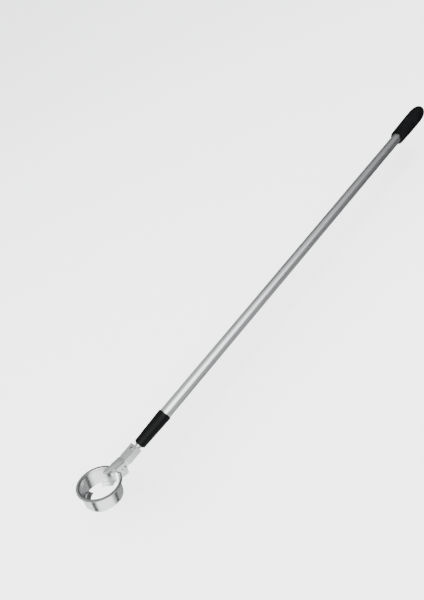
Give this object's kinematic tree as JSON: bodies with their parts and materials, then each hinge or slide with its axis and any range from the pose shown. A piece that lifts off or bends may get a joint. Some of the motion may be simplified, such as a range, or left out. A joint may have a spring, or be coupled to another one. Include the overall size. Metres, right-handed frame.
{
  "type": "golf ball retriever",
  "caption": "Telescoping pole with a rubber grip, tapered collar and a spring-hinged sheet-metal ring cup with a pointed finger over its mouth.",
  "frame": {"origin": "centre of the flat butt face of the grip, on the pole's axis", "axes": "+X points out of the butt along the pole, so the cup is at -X; +Z is the side the cup opens towards; the XZ plane is the plane of symmetry of the stem and cup"},
  "size_m": [0.8138, 0.0538, 0.0425],
  "materials": {
    "grip": "matt black moulded rubber",
    "plastic": "black moulded plastic",
    "tube": "satin silver tube",
    "collar": "semi-gloss black plastic",
    "bearing": "black acetal",
    "pin": "plain steel",
    "spring_steel": "spring steel",
    "neck": "turned steel",
    "plated_steel": "bright plated sheet steel",
    "rivet": "bright plated steel",
    "cup_steel": "bright plated sheet steel, sheared edges"
  },
  "bodies": {
    "handle": {"grip": "grip", "butt_plug": "plastic", "outer_tube": "tube", "tube_collar": "collar", "collar_bearing": "bearing"},
    "middle_section": {"middle_tube": "tube", "middle_rear_bush": "bearing", "middle_bush_pin": "pin", "middle_friction_spring": "spring_steel", "middle_front_bush": "plastic"},
    "inner_section": {"inner_tube": "tube", "inner_rear_bush": "bearing", "inner_bush_pin": "pin", "inner_friction_spring": "spring_steel", "neck_plug": "neck", "stem": "plated_steel", "stem_rivet": "rivet", "rivet_washer": "rivet", "hinge_rivet": "rivet", "hinge_spacer": "pin", "hinge_spring": "spring_steel"},
    "cup": {"cup": "cup_steel"}
  },
  "joints": [
    {"name": "middle_slide", "type": "slide", "parent": "handle", "child": "middle_section", "axis": [-1, 0, 0], "range_m": [0, 0.599]},
    {"name": "inner_slide", "type": "slide", "parent": "middle_section", "child": "inner_section", "axis": [-1, 0, 0], "range_m": [0, 0.6098]},
    {"name": "cup_hinge", "type": "hinge", "parent": "inner_section", "child": "cup", "pos_m": [-0.7532, 0, -0.0009], "axis": [0, -1, 0], "range_deg": [0, 66], "stiffness_Nm_per_rad": 0.03, "springref_deg": -68.75, "deforming": ["hinge_spring"]}
  ]
}
